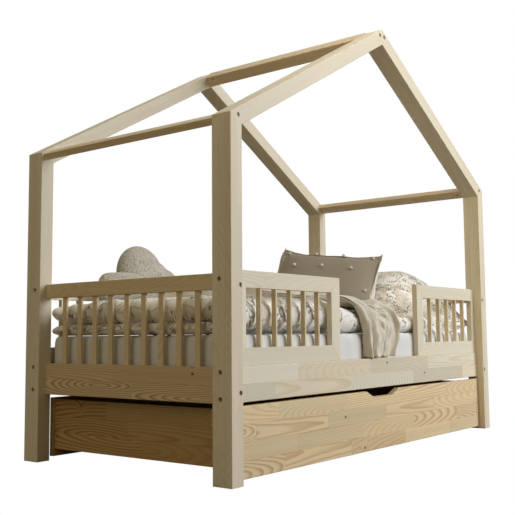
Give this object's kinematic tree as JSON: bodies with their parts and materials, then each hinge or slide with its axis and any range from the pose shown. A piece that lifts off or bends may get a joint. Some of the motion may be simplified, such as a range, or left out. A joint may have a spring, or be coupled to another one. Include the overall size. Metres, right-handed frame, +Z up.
{
  "type": "toddler bed",
  "caption": "House-shaped toddler bed in bare pine with slatted guards, a way in at the front, bedding, and a full-length drawer on wheels.",
  "frame": {"origin": "on the floor, under the middle of the bed's footprint", "axes": "+X along the bed towards the pillow end, +Y away from the side the child climbs in, +Z up"},
  "size_m": [1.72, 0.9, 1.5144],
  "materials": {
    "solid_pine": "bare, fine sanded",
    "plywood": "bare, sanded",
    "zinc_steel": "zinc plated",
    "wheel_plastic": "satin",
    "bracket_plastic": "matt",
    "sheet_white": "cotton sheet",
    "printed_cotton": "cotton with a fine line print",
    "woven_taupe": "woven cotton",
    "boucle": "looped pile",
    "throw_linen": "soft washed cotton"
  },
  "bodies": {
    "bed_frame": {"back_guard_bottom_rail": "solid_pine", "back_guard_slats": "solid_pine", "back_guard_top_rail": "solid_pine", "barrel_nuts": "zinc_steel", "base_slat_screws": "zinc_steel", "base_slats": "solid_pine", "cloud_cushion": "boucle", "duvet": "printed_cotton", "eave_board_left": "solid_pine", "eave_board_right": "solid_pine", "end_board_left": "solid_pine", "end_board_right": "solid_pine", "end_bolts": "zinc_steel", "end_slats_left": "solid_pine", "end_slats_right": "solid_pine", "end_top_rail_left": "solid_pine", "end_top_rail_right": "solid_pine", "guard_left_bottom_rail": "solid_pine", "guard_left_slats": "solid_pine", "guard_left_stiles": "solid_pine", "guard_left_top_rail": "solid_pine", "guard_right_bottom_rail": "solid_pine", "guard_right_slats": "solid_pine", "guard_right_stiles": "solid_pine", "guard_right_top_rail": "solid_pine", "mattress": "sheet_white", "mattress_cleat_back": "solid_pine", "mattress_cleat_front": "solid_pine", "post_back_left": "solid_pine", "post_back_right": "solid_pine", "post_front_left": "solid_pine", "post_front_right": "solid_pine", "rafter_back_left": "solid_pine", "rafter_back_right": "solid_pine", "rafter_front_left": "solid_pine", "rafter_front_right": "solid_pine", "rail_bolts": "zinc_steel", "ridge_beam": "solid_pine", "roof_bolts": "zinc_steel", "side_rail_back": "solid_pine", "side_rail_front": "solid_pine", "sleeping_pillow": "printed_cotton", "square_cushion": "woven_taupe", "throw_blanket": "throw_linen"},
    "drawer": {"drawer_back": "solid_pine", "drawer_bearers": "solid_pine", "drawer_bottom": "plywood", "drawer_corner_blocks": "solid_pine", "drawer_front": "solid_pine", "drawer_screws": "zinc_steel", "drawer_side_left": "solid_pine", "drawer_side_right": "solid_pine", "drawer_wheel_axles": "zinc_steel", "drawer_wheel_brackets": "bracket_plastic"},
    "wheel_front_left": {"drawer_wheel_front_left": "wheel_plastic"},
    "wheel_front_right": {"drawer_wheel_front_right": "wheel_plastic"},
    "wheel_back_left": {"drawer_wheel_back_left": "wheel_plastic"},
    "wheel_back_right": {"drawer_wheel_back_right": "wheel_plastic"}
  },
  "joints": [
    {"name": "drawer_slide", "type": "slide", "parent": "bed_frame", "child": "drawer", "axis": [0, -1, 0], "range_m": [0, 0.8]},
    {"name": "wheel_front_left_spin", "type": "hinge", "parent": "drawer", "child": "wheel_front_left", "pos_m": [-0.6, -0.33, 0.017], "axis": [1, 0, 0], "continuous": true},
    {"name": "wheel_front_right_spin", "type": "hinge", "parent": "drawer", "child": "wheel_front_right", "pos_m": [0.6, -0.33, 0.017], "axis": [1, 0, 0], "continuous": true},
    {"name": "wheel_back_left_spin", "type": "hinge", "parent": "drawer", "child": "wheel_back_left", "pos_m": [-0.6, 0.33, 0.017], "axis": [1, 0, 0], "continuous": true},
    {"name": "wheel_back_right_spin", "type": "hinge", "parent": "drawer", "child": "wheel_back_right", "pos_m": [0.6, 0.33, 0.017], "axis": [1, 0, 0], "continuous": true}
  ],
  "couplings": [
    {"joint": "wheel_front_left_spin", "follows": "drawer_slide", "rad_per_m": 58.824},
    {"joint": "wheel_front_right_spin", "follows": "drawer_slide", "rad_per_m": 58.824},
    {"joint": "wheel_back_left_spin", "follows": "drawer_slide", "rad_per_m": 58.824},
    {"joint": "wheel_back_right_spin", "follows": "drawer_slide", "rad_per_m": 58.824}
  ]
}
